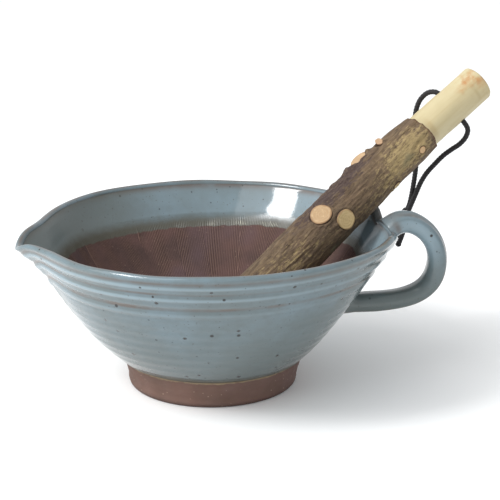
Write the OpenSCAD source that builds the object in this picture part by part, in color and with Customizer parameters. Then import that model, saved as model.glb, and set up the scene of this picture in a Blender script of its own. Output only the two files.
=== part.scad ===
// Stoneware grinding bowl with a pouring spout and a pulled handle, and its branch-wood pestle
// with a hanging cord. The origin is the centre of the foot's underside, +Z is up, the handle is
// on the +X side and the spout on the -X side.

/* [Bowl] */
// Radius of the rim's outer edge
rim_r = 100; // [96:1:104]
// Height of the rim above the table
rim_z = 88.5; // [86:0.5:91]
// Thickness of the rounded lip
lip_t = 4; // [3.5:0.5:4.5]
// How fast the outer wall flares (1 is a straight cone)
flare = 0.8; // [0.75:0.01:0.9]
// Height of the inside floor at its centre
floor_z = 13.5; // [13:0.5:13.5]
// How flat the inside floor is (2 is a parabola)
floor_curve = 2.4; // [2.2:0.1:2.6]

/* [Foot] */
// Height of the turned foot ring
foot_h = 15; // [13:0.5:16]
// Outer radius of the foot ring where it meets the wall
foot_top_r = 48.4; // [46:0.2:50]
// Outer radius of the foot ring on the table
foot_base_r = 46; // [44:0.5:47]
// Radius of the hollow inside the foot ring
foot_hollow_r = 38; // [34:0.5:40]
// Height of the hollow under the floor
foot_hollow_h = 7; // [5:0.5:8]

/* [Spout and handle seat] */
// Direction of the spout around the bowl, in degrees from +X
spout_turn = 190; // [185:1:195]
// How far the tip of the spout is pulled out
spout_pull = 8.4; // [6:0.2:9]
// How far the lip drops at the tip of the spout
spout_drop = 6.5; // [4:0.5:7]
// How far the lip is pinched in on each side of the spout
spout_pinch = 6; // [3:0.5:6.5]
// How far the lip is pressed down where the handle sits on it
seat_drop = 6; // [4:0.5:6.5]

/* [Handle] */
// Direction of the handle around the bowl, in degrees from +X
handle_turn = 5; // [2:1:8]
// Thickness of the strap, seen from the side
handle_t = 11.4; // [10:0.2:12]
// Width of the strap
handle_w = 15; // [13:0.5:18]

/* [Pestle] */
// Length of the pestle from its tip to the slight bend in the branch
lower_l = 154.5; // [150:0.5:154.5]
// Length of the pestle above the bend
upper_l = 75; // [72:1:78]
// Direction that the length below the bend leans towards, in degrees from +X
lower_turn = 34; // [33.8:0.1:34.2]
// Slope of that length above the table, in degrees
lower_rise = 33.7; // [33.6:0.1:33.8]
// Direction that the length above the bend leans towards, in degrees from +X
upper_turn = 26.2; // [26:0.1:26.4]
// Slope of that length above the table, in degrees
upper_rise = 34.6; // [34.4:0.1:34.8]
// Radius over the bark along the lower part
bark_r = 13.2; // [12.9:0.1:13.2]
// Radius over the bark at the bend
bark_bend_r = 12.5; // [12.4:0.1:12.6]
// Radius over the bark at its upper end
bark_top_r = 11.6; // [11.2:0.1:11.6]
// Thickness of the bark
bark_t = 1.2; // [0.8:0.1:1.4]
// Radius of the peeled upper end
grip_r = 10.2; // [9.8:0.1:10.3]
// Bare length of the grinding end
bare_l = 38; // [30:1:45]
// Height of the bark's upper end above the bend
bark_above = 30; // [26:1:32]

/* [Cord] */
// Diameter of the hanging cord
cord_d = 3; // [2.5:0.1:3]
// Diameter of the hole for it through the peeled end
hole_d = 4.4; // [4:0.1:4.6]
// Distance of the hole from the upper end
hole_from_top = 22.5; // [21:0.5:23]
// Size of the knot that ties the two strands together
knot_d = 9; // [8:0.5:9.5]

/* [Hidden] */
$fn = 96;
AROUND = 108;                                 // columns of the bowl's wall around the bowl
WALL_ROWS = 10;                               // rows up each side of the wall
LIP_ROWS = 6;                                 // rows over the rounded lip
plug_gap = 0.05;                              // clay floor inside the foot ring
inner_rim_r = rim_r - lip_t;
wall_top_z = rim_z - lip_t / 2;
inner_rise = wall_top_z - floor_z;
foot_bevel = 1.2;

grind_r = bark_r - bark_t;                    // radius of the wood under the bark
bend_at = [97.4, 37.7, 110];                  // where the pestle's axis bends
taper_from = -17;                             // the stem narrows above this height
mitre = 1.2;                                  // how far each length runs past the bend
hole_turn = 149.2;                            // direction of the cord hole around the stem
end_bevel = 1.5;

// Sawn-off twigs: height above the bend, direction around the stem, radii across and along,
// and how far the cut face stands from the axis.
STUB_LARGE_A = [-52.1, -154.4, 5.8, 6.2, 13.4];
STUB_LARGE_B = [-44, -102.2, 5.6, 5.6, 13.4];
STUB_LONG = [-8.8, 150, 3.4, 6.2, 14];
STUB_ROUND = [5, 173, 2.1, 2.1, 14];
STUB_UPPER = [19, -86, 2.1, 2.3, 13];
STUB_LOWER = [-5.2, -58.8, 1.6, 2.4, 13.4];

// Route of the handle's centre line in its own upright plane: distance from the bowl's axis, and
// height.
HANDLE_ROUTE = [
    [96.5, 82], [100, 84.4], [104, 85.7], [109, 85.3], [114, 82.9], [118.7, 78.9], [122.6, 73],
    [124.6, 66], [124.4, 59], [122.2, 52.5], [118, 47.3], [112, 43.9], [104, 41.8], [95, 40.8],
    [86, 40.5], [79, 40.3], [74.5, 40.8], [70.3, 43]
];
// How much wider the strap is where it spreads onto the lip and onto the wall
HANDLE_SPREAD = [1.25, 1.4];
// How much thinner or thicker it is there
HANDLE_ROOT_T = [0.9, 1.15];

// The upper stem's own directions: up along it, down square to it, and level across it
stem_dir = [
    cos(upper_rise) * cos(upper_turn), cos(upper_rise) * sin(upper_turn), sin(upper_rise)
];
stem_down = [
    sin(upper_rise) * cos(upper_turn), sin(upper_rise) * sin(upper_turn), -cos(upper_rise)
];
stem_across = [-sin(upper_turn), cos(upper_turn), 0];
hole_at = bend_at + (upper_l - hole_from_top) * stem_dir;
hole_dir = cos(hole_turn) * stem_down + sin(hole_turn) * stem_across;
// A point on the hole's axis, k millimetres from the stem's middle
function in_hole(k) = hole_at + k * hole_dir;

// Route of the cord: up one tail, through the knot and round behind the stem, through the hole,
// down the other strand, and back through the knot to the other tail.
CORD_ROUTE = [
    [110.5, 70.5, 59], [112, 70, 64], [113.1, 69.4, 70], [114.4, 68.7, 75], [116.2, 68.2, 80.5],
    [117.3, 67.4, 87], [118.3, 66.8, 95], [119, 66.3, 103], [119.2, 66.2, 112],
    [118.2, 66.2, 122], [117.5, 66, 130], [118, 65.5, 136.5], [119.6, 64.8, 141.8],
    [122.2, 63.6, 145.6], [125.2, 62, 147.6], in_hole(11), in_hole(5.5), in_hole(0),
    in_hole(-5.5), in_hole(-11), [146.2, 54.4, 127.4], [145.3, 55.2, 122.6],
    [142.2, 56.4, 118.4], [138, 57.9, 115], [133.5, 59.5, 111], [129.1, 61, 105.8],
    [124.8, 62.6, 100.1],
    [121.6, 63.7, 94], [119, 64.4, 87], [116.6, 64.9, 80.5], [114.8, 65.4, 75],
    [113.8, 66.2, 70], [112.3, 67, 62], [109.8, 68.2, 54.5]
];
KNOT_AT = [113.7, 67.3, 72.6];

// ---- small helpers ----

function clamp(x, lo, hi) = min(max(x, lo), hi);
// 0 at a, 1 at b, with level ends
function ease(x, a, b) = let (t = clamp((x - a) / (b - a), 0, 1)) t * t * (3 - 2 * t);
function bump(x, width) = exp(-pow(x / width, 2));
// an angle as its distance from 0, between -180 and 180
function wrap(a) = a - 360 * round(a / 360);

// A closed skin through equal rings of points, with a flat cap at each end
module loft(rings) {
    sides = len(rings[0]);
    last = len(rings) - 1;
    polyhedron(
        points = [for (ring = rings) each ring],
        faces = concat(
            [[for (i = [0 : sides - 1]) i]],
            [
                for (k = [0 : last - 1], i = [0 : sides - 1])
                let (j = (i + 1) % sides, a = k * sides, b = a + sides)
                each [[a + i, b + i, b + j], [a + i, b + j, a + j]]
            ],
            [[for (i = [sides - 1 : -1 : 0]) last * sides + i]]
        ),
        convexity = 8
    );
}

// Rings of an oval section swept along a route; up is kept square to the route
function unit(v) = v / norm(v);
function along(route, k) =
    unit(route[min(k + 1, len(route) - 1)] - route[max(k - 1, 0)]);
function section(route, k, side, across, thick, sides) =
    let (dir = along(route, k), x = unit(cross(side, dir)), y = unit(cross(dir, x)))
    [for (i = [0 : sides - 1])
        let (a = 360 * i / sides) route[k] + thick * cos(a) * x + across * sin(a) * y];

// ---- bowl ----

// How far the lip stands below its full height, around the bowl
function lip_drop(turn) =
    let (from_spout = wrap(turn - spout_turn), from_seat = wrap(turn))
    spout_drop * (0.74 * bump(from_spout, 5.7) + 0.26 * bump(from_spout, 46))
    + seat_drop * ease(from_seat, -20, -1) * (1 - ease(from_seat, 15, 20));
// How far the wall is pushed out at a height fraction t, around the bowl
function wall_push(turn, t) =
    let (off = abs(wrap(turn - spout_turn)))
    spout_pull * bump(off, 12) * pow(t, 7) - spout_pinch * bump(off - 13, 30) * pow(t, 3);
// The whole wall leans out a little under the spout
function wall_lean(turn) = 1.7 * pow(cos(wrap(turn - spout_turn) / 2), 4);

function outer_r(t) = foot_top_r + (rim_r - foot_top_r) * pow(t, flare);
function inner_z(t) = inner_rise * pow(t, floor_curve);

// The outline of the wall at one direction around the bowl, from under the floor to the floor
function wall_outline(turn) =
    let (
        lean = wall_lean(turn), push = wall_push(turn, 1),
        top_z = wall_top_z - lip_drop(turn), lip_r = lip_t / 2
    )
    concat(
        [[foot_hollow_r - plug_gap, foot_hollow_h], [foot_hollow_r - plug_gap, foot_h]],
        [for (k = [0 : WALL_ROWS])
            let (t = k / WALL_ROWS)
            [outer_r(t) + lean * ease(t, 0, 0.3) + wall_push(turn, t),
                foot_h + (top_z - foot_h) * t]],
        [for (k = [1 : LIP_ROWS - 1])
            let (a = 180 * k / LIP_ROWS)
            [rim_r - lip_r + lean + push + lip_r * cos(a), top_z + lip_r * sin(a)]],
        [for (k = [WALL_ROWS : -1 : 1])
            let (t = k / WALL_ROWS)
            [inner_rim_r * t + lean * ease(t, 0.3, 1) + wall_push(turn, t),
                floor_z + inner_z(t) * (top_z - floor_z) / inner_rise]]
    );

module bowl_body() {
    outlines = [for (i = [0 : AROUND - 1]) let (turn = 360 * i / AROUND)
        [for (p = wall_outline(turn)) [p[0] * cos(turn), p[0] * sin(turn), p[1]]]];
    rows = len(outlines[0]);
    color("#9fb3bd") loft([for (k = [0 : rows - 1]) [for (i = [0 : AROUND - 1]) outlines[i][k]]]);
}

module foot_ring() {
    color("#6e5248") rotate_extrude()
        polygon([
            [foot_hollow_r, 0], [foot_base_r - foot_bevel, 0], [foot_base_r, foot_bevel],
            [foot_top_r, foot_h], [foot_hollow_r, foot_h]
        ]);
}

// ---- handle ----

module handle() {
    ends = len(HANDLE_ROUTE) - 1;
    route = [for (p = HANDLE_ROUTE) [p[0], 0, p[1]]];
    color("#93a8b0") rotate([0, 0, handle_turn]) loft([
        for (k = [0 : ends])
        let (
            near_lip = bump(k, 1.5),
            near_wall = bump(ends - k, 1.5),
            wider = 1 + near_lip * (HANDLE_SPREAD[0] - 1) + near_wall * (HANDLE_SPREAD[1] - 1),
            thicker = 1 + near_lip * (HANDLE_ROOT_T[0] - 1) + near_wall * (HANDLE_ROOT_T[1] - 1)
        )
        section(route, k, [0, 1, 0], handle_w / 2 * wider, handle_t / 2 * thicker, 16)
    ]);
}

// ---- pestle: two straight lengths, each drawn upright with the bend at the origin ----

module below_bend() {
    translate(bend_at) rotate([0, 90 - lower_rise, lower_turn]) children();
}

module above_bend() {
    translate(bend_at) rotate([0, 90 - upper_rise, upper_turn]) children();
}

module wood() {
    wood_bend_r = bark_bend_r - bark_t;
    below_bend() rotate_extrude() polygon(concat(
        [for (a = [0 : 9 : 90]) [grind_r * sin(a), grind_r * (1 - cos(a)) - lower_l]],
        [[grind_r, taper_from], [wood_bend_r, 0], [wood_bend_r, mitre], [0, mitre]]
    ));
    above_bend() rotate_extrude() polygon([
        [0, -mitre], [wood_bend_r, -mitre], [wood_bend_r, 0], [bark_top_r - bark_t, bark_above],
        [grip_r, upper_l - end_bevel], [grip_r - end_bevel, upper_l], [0, upper_l]
    ]);
}

// The sawn twig, as a straight peg from the axis to its cut face
module peg(stub) {
    translate([0, 0, stub[0]]) rotate([0, 90, stub[1]])
        linear_extrude(stub[4]) polygon([for (a = [0 : 15 : 345]) [stub[3] * cos(a), stub[2] * sin(a)]]);
}

// The same peg on whichever length of the stem it grows from
module twig(stub) {
    if (stub[0] < 0)
        below_bend() peg(stub);
    else
        above_bend() peg(stub);
}

module twig_stub(stub, shade) {
    color(shade) difference() {
        twig(stub);
        wood();
    }
}

module pestle_core() {
    color("#d8c898") difference() {
        wood();
        above_bend() translate([0, 0, upper_l - hole_from_top]) rotate([0, 90, hole_turn])
            cylinder(h = 3 * grip_r, d = hole_d, center = true);
    }
}

module bark_sleeve() {
    color("#6b5138") difference() {
        union() {
            below_bend() rotate_extrude() polygon([
                [0, bare_l - lower_l], [bark_r, bare_l - lower_l], [bark_r, taper_from],
                [bark_bend_r, 0], [bark_bend_r, mitre], [0, mitre]
            ]);
            above_bend() rotate_extrude() polygon([
                [0, -mitre], [bark_bend_r, -mitre], [bark_bend_r, 0], [bark_top_r, bark_above],
                [0, bark_above]
            ]);
        }
        wood();
        for (stub = [STUB_LARGE_A, STUB_LARGE_B, STUB_LONG, STUB_ROUND, STUB_UPPER, STUB_LOWER])
            twig(stub);
    }
}

module twig_stub_large_a() { twig_stub(STUB_LARGE_A, "#dcb886"); }
module twig_stub_large_b() { twig_stub(STUB_LARGE_B, "#c8ad72"); }
module twig_stub_long() { twig_stub(STUB_LONG, "#d9b891"); }
module twig_stub_round() { twig_stub(STUB_ROUND, "#cfa98a"); }
module twig_stub_upper() { twig_stub(STUB_UPPER, "#d6b48c"); }
module twig_stub_lower() { twig_stub(STUB_LOWER, "#b59d6a"); }

// ---- cord ----

module hanging_cord() {
    color("#1c1a1b") loft([
        for (k = [0 : len(CORD_ROUTE) - 1])
        section(CORD_ROUTE, k, [0.34, 0.94, 0], cord_d / 2, cord_d / 2, 8)
    ]);
}

module cord_knot() {
    color("#201e1f") translate(KNOT_AT) sphere(d = knot_d);
}

bowl_body();
foot_ring();
handle();
pestle_core();
bark_sleeve();
twig_stub_large_a();
twig_stub_large_b();
twig_stub_long();
twig_stub_round();
twig_stub_upper();
twig_stub_lower();
hanging_cord();
cord_knot();
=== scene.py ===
import math

import bpy
import numpy as np
from mathutils import Matrix, Vector


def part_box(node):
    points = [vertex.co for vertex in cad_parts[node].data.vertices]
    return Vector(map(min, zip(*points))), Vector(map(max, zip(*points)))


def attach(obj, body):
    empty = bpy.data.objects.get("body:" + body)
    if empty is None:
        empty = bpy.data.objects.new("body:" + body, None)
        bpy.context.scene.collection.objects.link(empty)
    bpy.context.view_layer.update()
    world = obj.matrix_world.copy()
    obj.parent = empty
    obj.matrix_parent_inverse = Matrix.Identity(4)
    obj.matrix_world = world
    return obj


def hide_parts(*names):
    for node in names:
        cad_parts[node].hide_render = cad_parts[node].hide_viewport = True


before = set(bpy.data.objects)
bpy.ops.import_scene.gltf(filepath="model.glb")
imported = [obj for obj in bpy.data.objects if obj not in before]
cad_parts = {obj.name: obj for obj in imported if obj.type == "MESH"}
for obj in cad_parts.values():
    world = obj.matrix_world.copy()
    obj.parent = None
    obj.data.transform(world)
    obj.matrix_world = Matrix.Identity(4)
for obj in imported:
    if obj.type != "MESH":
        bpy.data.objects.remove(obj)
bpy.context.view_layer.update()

MM = 0.001

# ---- camera: in front of the bowl, looking a little down into it ----

CAMERA_AT = Vector((0, -0.7534, 0.2923))
CAMERA_FORWARD = Vector((0.02633, 0.95979, -0.27950))
CAMERA_RIGHT = Vector((0.99961, -0.02790, -0.00167))
LENS_MM = 104.42


def make_camera():
    data = bpy.data.cameras.new("camera")
    data.lens = LENS_MM
    data.sensor_width = 36
    data.clip_start = 0.01
    camera = bpy.data.objects.new("camera", data)
    bpy.context.scene.collection.objects.link(camera)
    back = -CAMERA_FORWARD.normalized()
    right = (CAMERA_RIGHT - CAMERA_RIGHT.dot(back) * back).normalized()
    up = back.cross(right)
    turn = Matrix((right, up, back)).transposed()
    camera.matrix_world = Matrix.Translation(CAMERA_AT) @ turn.to_4x4()
    bpy.context.scene.camera = camera


make_camera()

# ---- driving dimensions, the CAD's own apart from the soft outline of the stem ----

FOOT_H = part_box("foot_ring")[1].z
FOOT_TOP_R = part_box("foot_ring")[1].y
FOOT_BASE_R = FOOT_TOP_R - 2.4 * MM
FOOT_HOLLOW_R = 38 * MM
FOOT_HOLLOW_H = 7 * MM
RIM_R = 100 * MM
RIM_Z = 88.5 * MM
LIP_R = 2 * MM                     # radius of the rounded lip
FLOOR_Z = 13.5 * MM
FLARE = 0.8
FLOOR_CURVE = 2.4
WALL_TOP_Z = RIM_Z - LIP_R
INNER_RIM_R = RIM_R - 2 * LIP_R
SPOUT_TURN = 190                   # degrees from +X
SPOUT_PULL = 8.4 * MM
SPOUT_DROP = 6.5 * MM
SPOUT_PINCH = 6 * MM
SEAT_DROP = 6 * MM
WALL_LEAN = 1.7 * MM

HANDLE_TURN = 5                    # degrees from +X
HANDLE_T = 11.4 * MM
HANDLE_W = 15 * MM
# The strap's centre line in its own upright plane, in millimetres
HANDLE_ROUTE = [
    (96.5, 82), (100, 84.4), (104, 85.7), (109, 85.3), (114, 82.9), (118.7, 78.9), (122.6, 73),
    (124.6, 66), (124.4, 59), (122.2, 52.5), (118, 47.3), (112, 43.9), (104, 41.8), (95, 40.8),
    (86, 40.5), (79, 40.3), (74.5, 40.8), (70.3, 43),
]

BEND_AT = np.array((97.4, 37.7, 110)) * MM
LOWER_L = 154.5 * MM
UPPER_L = 75 * MM
LOWER_AIM = (34.0, 33.7)           # direction around the bowl and slope, in degrees
UPPER_AIM = (26.2, 34.6)
BARK_T = 1.2 * MM
BARE_END = -116.5 * MM             # heights along the stem, from its bend
BARK_END = 30 * MM
GRIP_R = 10.4 * MM
WOOD_AT_BARK_R = 10.5 * MM
GRIND_R = 12 * MM
HOLE_HEIGHT = UPPER_L - 22.5 * MM
HOLE_TURN = 149.2
HOLE_D = 4.4 * MM
# Radius over the bark against height along the stem
BARK_PROFILE = ((-116.5, 13.2), (-17, 13.1), (0, 12.5), (30, 12.0))

# Sawn-off twigs: height, direction around the stem, radii across and along, reach from the axis,
# and slope of the cut face across the stem in degrees
STUBS = {
    "twig_stub_large_a": (-52.1, -154.4, 5.8, 6.2, 13.7, 4),
    "twig_stub_large_b": (-44, -102.2, 5.6, 5.6, 13.6, -3),
    "twig_stub_long": (-8.8, 150, 3.4, 6.2, 13.7, 28),
    "twig_stub_round": (5, 173, 2.1, 2.1, 14.3, 30),
    "twig_stub_upper": (19, -86, 2.0, 2.2, 12.6, 0),
    "twig_stub_lower": (-5.2, -58.8, 1.6, 2.4, 13.3, 0),
}

CORD_D = 3 * MM
KNOT_AT = np.array((113.7, 67.3, 72.6)) * MM


# ---- small helpers ----

def unit(v):
    v = np.asarray(v, float)
    return v / np.linalg.norm(v, axis=-1, keepdims=True)


def bump(x, width):
    return np.exp(-(x / width) ** 2)


def ease(x, a, b):
    t = np.clip((x - a) / (b - a), 0, 1)
    return t * t * (3 - 2 * t)


def wrap(turn):
    """An angle in degrees as its distance from 0, between -180 and 180."""
    return turn - 360 * np.round(turn / 360)


def angles(sides):
    """The angles of that many points round a circle, in radians."""
    return np.arange(sides) * 2 * math.pi / sides


def compass(sides):
    """The directions of that many points round a circle, in degrees."""
    return np.arange(sides) * 360 / sides


def columns(rows):
    """Each column of a table of numbers, as an upright array."""
    return (np.array(column)[:, None] for column in zip(*rows))


def quarter(steps):
    """Angles over a quarter turn, for a rounded edge."""
    return np.linspace(0, math.pi / 2, steps)


def aim(turn, rise):
    """The unit vector at that direction around +Z and slope above the table, in degrees."""
    turn, rise = math.radians(turn), math.radians(rise)
    flat = math.cos(rise)
    return np.array((flat * math.cos(turn), flat * math.sin(turn), math.sin(rise)))


def wobble(points, size, seed, waves=14):
    """Smooth noise near -1 to 1 whose features are about size across; size may be one per axis."""
    random = np.random.default_rng(seed)
    scaled = np.asarray(points, float) / np.asarray(size, float)
    total = 0
    for _ in range(waves):
        direction = unit(random.normal(size=scaled.shape[-1])) * random.uniform(2, 5)
        total = total + np.sin(scaled @ direction + random.uniform(0, 2 * math.pi))
    return total / math.sqrt(waves)


def smooth_route(points, step):
    """Points about step apart on a Catmull-Rom curve through the given ones."""
    points = np.asarray(points, float)
    ends = np.vstack((2 * points[0] - points[1], points, 2 * points[-1] - points[-2]))
    out = []
    for a, b, c, d in zip(ends, ends[1:], ends[2:], ends[3:]):
        count = max(2, int(np.linalg.norm(c - b) / step))
        t = np.arange(count)[:, None] / count
        out.append(0.5 * (2 * b + (c - a) * t + (2 * a - 5 * b + 4 * c - d) * t ** 2
                          + (3 * b - a - 3 * c + d) * t ** 3))
    return np.vstack(out + [points[-1:]])


class Skin:
    """A mesh under construction, made of closed rings of points that are joined in order."""

    def __init__(self):
        self.points = []
        self.faces = []
        self.fields = {}
        self.count = 0

    def rings(self, points, **fields):
        """Adds rings, an array of rings x sides x 3, joins them, and returns the first point's
        index of each."""
        rows, sides = points.shape[:2]
        first = self.count
        self.points.append(points.reshape(-1, 3))
        self.count += rows * sides
        for name, value in fields.items():
            spread = np.broadcast_to(value, (rows, sides)).reshape(-1)
            self.fields.setdefault(name, []).append((first, spread))
        starts = [first + k * sides for k in range(rows)]
        for a, b in zip(starts, starts[1:]):
            self.bridge(a, b, sides)
        return starts

    def bridge(self, a, b, sides, finer=1):
        """Joins the ring that starts at a to one at b, which has finer times as many points."""
        i = np.arange(sides)
        j = (i + 1) % sides
        across = [b + (finer * i + k) % (finer * sides) for k in range(finer, -1, -1)]
        columns = [a + i, a + j] + across
        self.faces.extend(map(tuple, np.stack(columns, 1).tolist()))

    def cap(self, start, sides, flip=False):
        ring = list(range(start, start + sides))
        self.faces.append(tuple(ring if flip else ring[::-1]))

    def close(self, starts, sides):
        """Caps the first ring and the last."""
        self.cap(starts[0], sides)
        self.cap(starts[-1], sides, flip=True)

    def finish(self, name, *materials):
        mesh = bpy.data.meshes.new(name)
        mesh.from_pydata(np.vstack(self.points).tolist(), [], self.faces)
        for field, parts in self.fields.items():
            values = np.zeros(self.count, np.float32)
            for first, part in parts:
                values[first:first + len(part)] = part
            mesh.attributes.new(field, "FLOAT", "POINT").data.foreach_set("value", values)
        mesh.shade_smooth()
        for material in materials:
            mesh.materials.append(material)
        mesh.update()
        piece = bpy.data.objects.new(name, mesh)
        bpy.context.scene.collection.objects.link(piece)
        return piece


class Look:
    """A material under construction."""

    def __init__(self, name, **shader):
        self.material = bpy.data.materials.new(name)
        self.material.use_nodes = True
        self.tree = self.material.node_tree
        self.shader = self.tree.nodes["Principled BSDF"]
        for socket, value in shader.items():
            self.join(self.shader.inputs[socket.replace("_", " ")], value)

    def join(self, socket, value):
        if isinstance(value, bpy.types.NodeSocket):
            self.tree.links.new(value, socket)
        else:
            socket.default_value = value

    def add(self, kind, inputs, **settings):
        node = self.tree.nodes.new("ShaderNode" + kind)
        for setting, value in settings.items():
            setattr(node, setting, value)
        for socket, value in inputs.items():
            self.join(node.inputs[socket], value)
        return node

    def field(self, name):
        return self.add("Attribute", {}, attribute_name=name).outputs["Fac"]

    def place(self):
        return self.add("TexCoord", {}).outputs["Object"]

    def stem_place(self, squeeze=1):
        """The place along and around the straightened stem; squeeze stretches what follows it."""
        parts = [self.field(name) for name in ("stem_x", "stem_y", "stem_z")]
        parts[2] = self.calc("MULTIPLY", parts[2], squeeze)
        return self.add("CombineXYZ", dict(enumerate(parts))).outputs[0]

    def noise(self, scale, vector=None, detail=3.0, rough=0.55, distort=0.0):
        inputs = {"Vector": vector or self.place(), "Scale": scale, "Detail": detail,
                  "Roughness": rough, "Distortion": distort}
        return self.add("TexNoise", inputs).outputs["Fac"]

    def calc(self, operation, a, b=0.0, clamp=False):
        return self.add("Math", {0: a, 1: b}, operation=operation, use_clamp=clamp).outputs[0]

    def step(self, value, a, b, low=0.0, high=1.0):
        """low below a, high above b, smooth between."""
        inputs = {"Value": value, "From Min": a, "From Max": b, "To Min": low, "To Max": high}
        return self.add("MapRange", inputs, interpolation_type="SMOOTHSTEP").outputs["Result"]

    def mix(self, amount, a, b):
        """Colour a turned into colour b by that amount; each is a colour or a socket."""
        node = self.add("Mix", {0: amount}, data_type="RGBA")
        for socket, value in ((node.inputs[6], a), (node.inputs[7], b)):
            self.join(socket, (*value, 1) if isinstance(value, tuple) else value)
        return node.outputs[2]

    def specks(self, scale, smallest, largest, vector=None):
        """Round dots, each of its own size, at random places; sizes are in cells."""
        inputs = {"Vector": vector or self.place(), "Scale": scale}
        cells = self.add("TexVoronoi", inputs)
        random = self.add("SeparateColor", {0: cells.outputs["Color"]}).outputs[0]
        size = self.step(self.calc("POWER", random, 2.0), 0, 1, smallest, largest)
        edge = self.calc("DIVIDE", cells.outputs["Distance"], size)
        return self.step(edge, 0.6, 1.1, 1.0, 0.0)

    def relief(self, *layers):
        """Bump from (height, distance in metres, strength) layers, one over another."""
        normal = None
        for height, distance, strength in layers:
            inputs = {"Height": height, "Distance": distance, "Strength": strength}
            if normal:
                inputs["Normal"] = normal
            normal = self.add("Bump", inputs).outputs[0]
        self.join(self.shader.inputs["Normal"], normal)

    def done(self, colour, roughness):
        self.join(self.shader.inputs["Base Color"], colour)
        self.join(self.shader.inputs["Roughness"], roughness)
        return self.material


# ---- materials ----

GLAZE_BLUE = (0.148, 0.205, 0.236)
GLAZE_GREY = (0.105, 0.128, 0.126)
GLAZE_PALE = (0.255, 0.340, 0.385)
GLAZE_OLIVE = (0.070, 0.062, 0.042)
# green-grey for shade painted on the glaze
GLAZE_MOSS = (0.112, 0.126, 0.112)
GLAZE_MAUVE = (0.118, 0.102, 0.092)
IRON = (0.022, 0.022, 0.022)
CLAY = (0.108, 0.058, 0.050)
CLAY_DARK = (0.060, 0.035, 0.031)
CLAY_PALE = (0.270, 0.165, 0.120)
CLAY_VIOLET = (0.100, 0.062, 0.070)
GROG = (0.42, 0.30, 0.22)
# cream for highlights painted on the combed lines
CREAM = (0.48, 0.46, 0.38)
HEM_TAN = (0.25, 0.19, 0.12)
SAPWOOD = (0.48, 0.405, 0.235)
SAPWOOD_PALE = (0.54, 0.475, 0.300)
GRAIN = (0.38, 0.28, 0.13)
STAIN = (0.42, 0.22, 0.085)
INNER_BARK = (0.33, 0.23, 0.095)
YEAR_RING = (0.50, 0.33, 0.14)
BARK_DARK = (0.090, 0.058, 0.034)
BARK_BROWN = (0.162, 0.108, 0.060)
BARK_BLOTCH = (0.112, 0.066, 0.040)
BARK_OCHRE = (0.345, 0.255, 0.118)
BARK_SCALE = (0.056, 0.034, 0.032)
BARK_MOSS = (0.125, 0.130, 0.078)
BARK_RUDDY = (0.115, 0.045, 0.024)
BARK_FIBRE = (0.310, 0.225, 0.120)
BARK_CRACK = (0.036, 0.023, 0.016)
BARK_PIT = (0.040, 0.024, 0.018)
BARK_HOLLOW = (0.032, 0.018, 0.012)
END_RING = (0.38, 0.20, 0.075)
END_PALE = (0.68, 0.50, 0.29)
END_RIM = (0.20, 0.095, 0.040)
END_SIDE = (0.080, 0.045, 0.026)
CORD_BLACK = (0.010, 0.009, 0.010)
CORD_FRAY = (0.034, 0.031, 0.033)
# painted shade in the gaps between the strands
CORD_GAP = (0.004, 0.004, 0.004)


def glaze_colour(look, ridge, edge):
    """Grey-blue glaze that turns pale where it is thick, and breaks brown where it is thin; on the
    handle the ridge mask carries painted light and painted shade instead.
    """
    drift = look.step(look.noise(22, detail=4.0), 0.35, 0.68, 0.0, 0.7)
    colour = look.mix(drift, GLAZE_BLUE, GLAZE_GREY)
    height = look.add("SeparateXYZ", {0: look.place()}).outputs[2]
    colour = look.mix(look.step(height, 0.066, 0.018, 0.0, 0.75), colour, GLAZE_GREY)
    mottle = look.step(look.noise(210, detail=4.0), 0.4, 0.75, 0.0, 0.35)
    colour = look.mix(mottle, colour, GLAZE_GREY)
    # the ridge mask: pale where the glaze is thick and mauve in grooves; on the handle it holds
    # painted light and painted shade
    colour = look.mix(look.step(ridge, 0.1, 0.9, 0.0, 0.75), colour, GLAZE_PALE)
    patchy = look.step(look.noise(60, detail=4.0), 0.35, 0.65, 0.35, 1.0)
    groove = look.calc("MULTIPLY", look.step(ridge, -0.25, -0.95), patchy)
    colour = look.mix(groove, colour, GLAZE_MAUVE)
    thin = look.calc("MULTIPLY", edge, look.step(look.noise(90), 0.3, 0.6, 0.5, 1.0))
    colour = look.mix(thin, colour, GLAZE_MAUVE)
    freckle = look.calc("MULTIPLY", look.specks(520, 0.04, 0.24), 0.45)
    colour = look.mix(freckle, colour, GLAZE_OLIVE)
    colour = look.mix(look.calc("MULTIPLY", look.specks(260, 0.03, 0.17), 0.6), colour, IRON)
    return look.mix(look.specks(150, 0.03, 0.17), colour, IRON)


def clay_colour(look, combed, grit):
    """Brown fired clay, with painted light on raised lines and painted shade between them, and grit
    in it.
    """
    drift = look.step(look.noise(45, detail=5.0), 0.3, 0.7)
    colour = look.mix(drift, CLAY, CLAY_DARK)
    violet = look.step(look.noise(28, detail=2.0), 0.5, 0.7, 0.0, 0.5)
    colour = look.mix(violet, colour, CLAY_VIOLET)
    # painted light on the raised lines and painted shade between them
    colour = look.mix(look.step(combed, 0.15, 1.0, 0.0, 0.42), colour, CLAY_PALE)
    colour = look.mix(look.step(combed, -0.2, -1.0, 0.0, 0.5), colour, CLAY_DARK)
    grog = look.calc("MULTIPLY", look.specks(420, 0.02, 0.2), grit)
    return look.mix(grog, colour, GROG)


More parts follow.
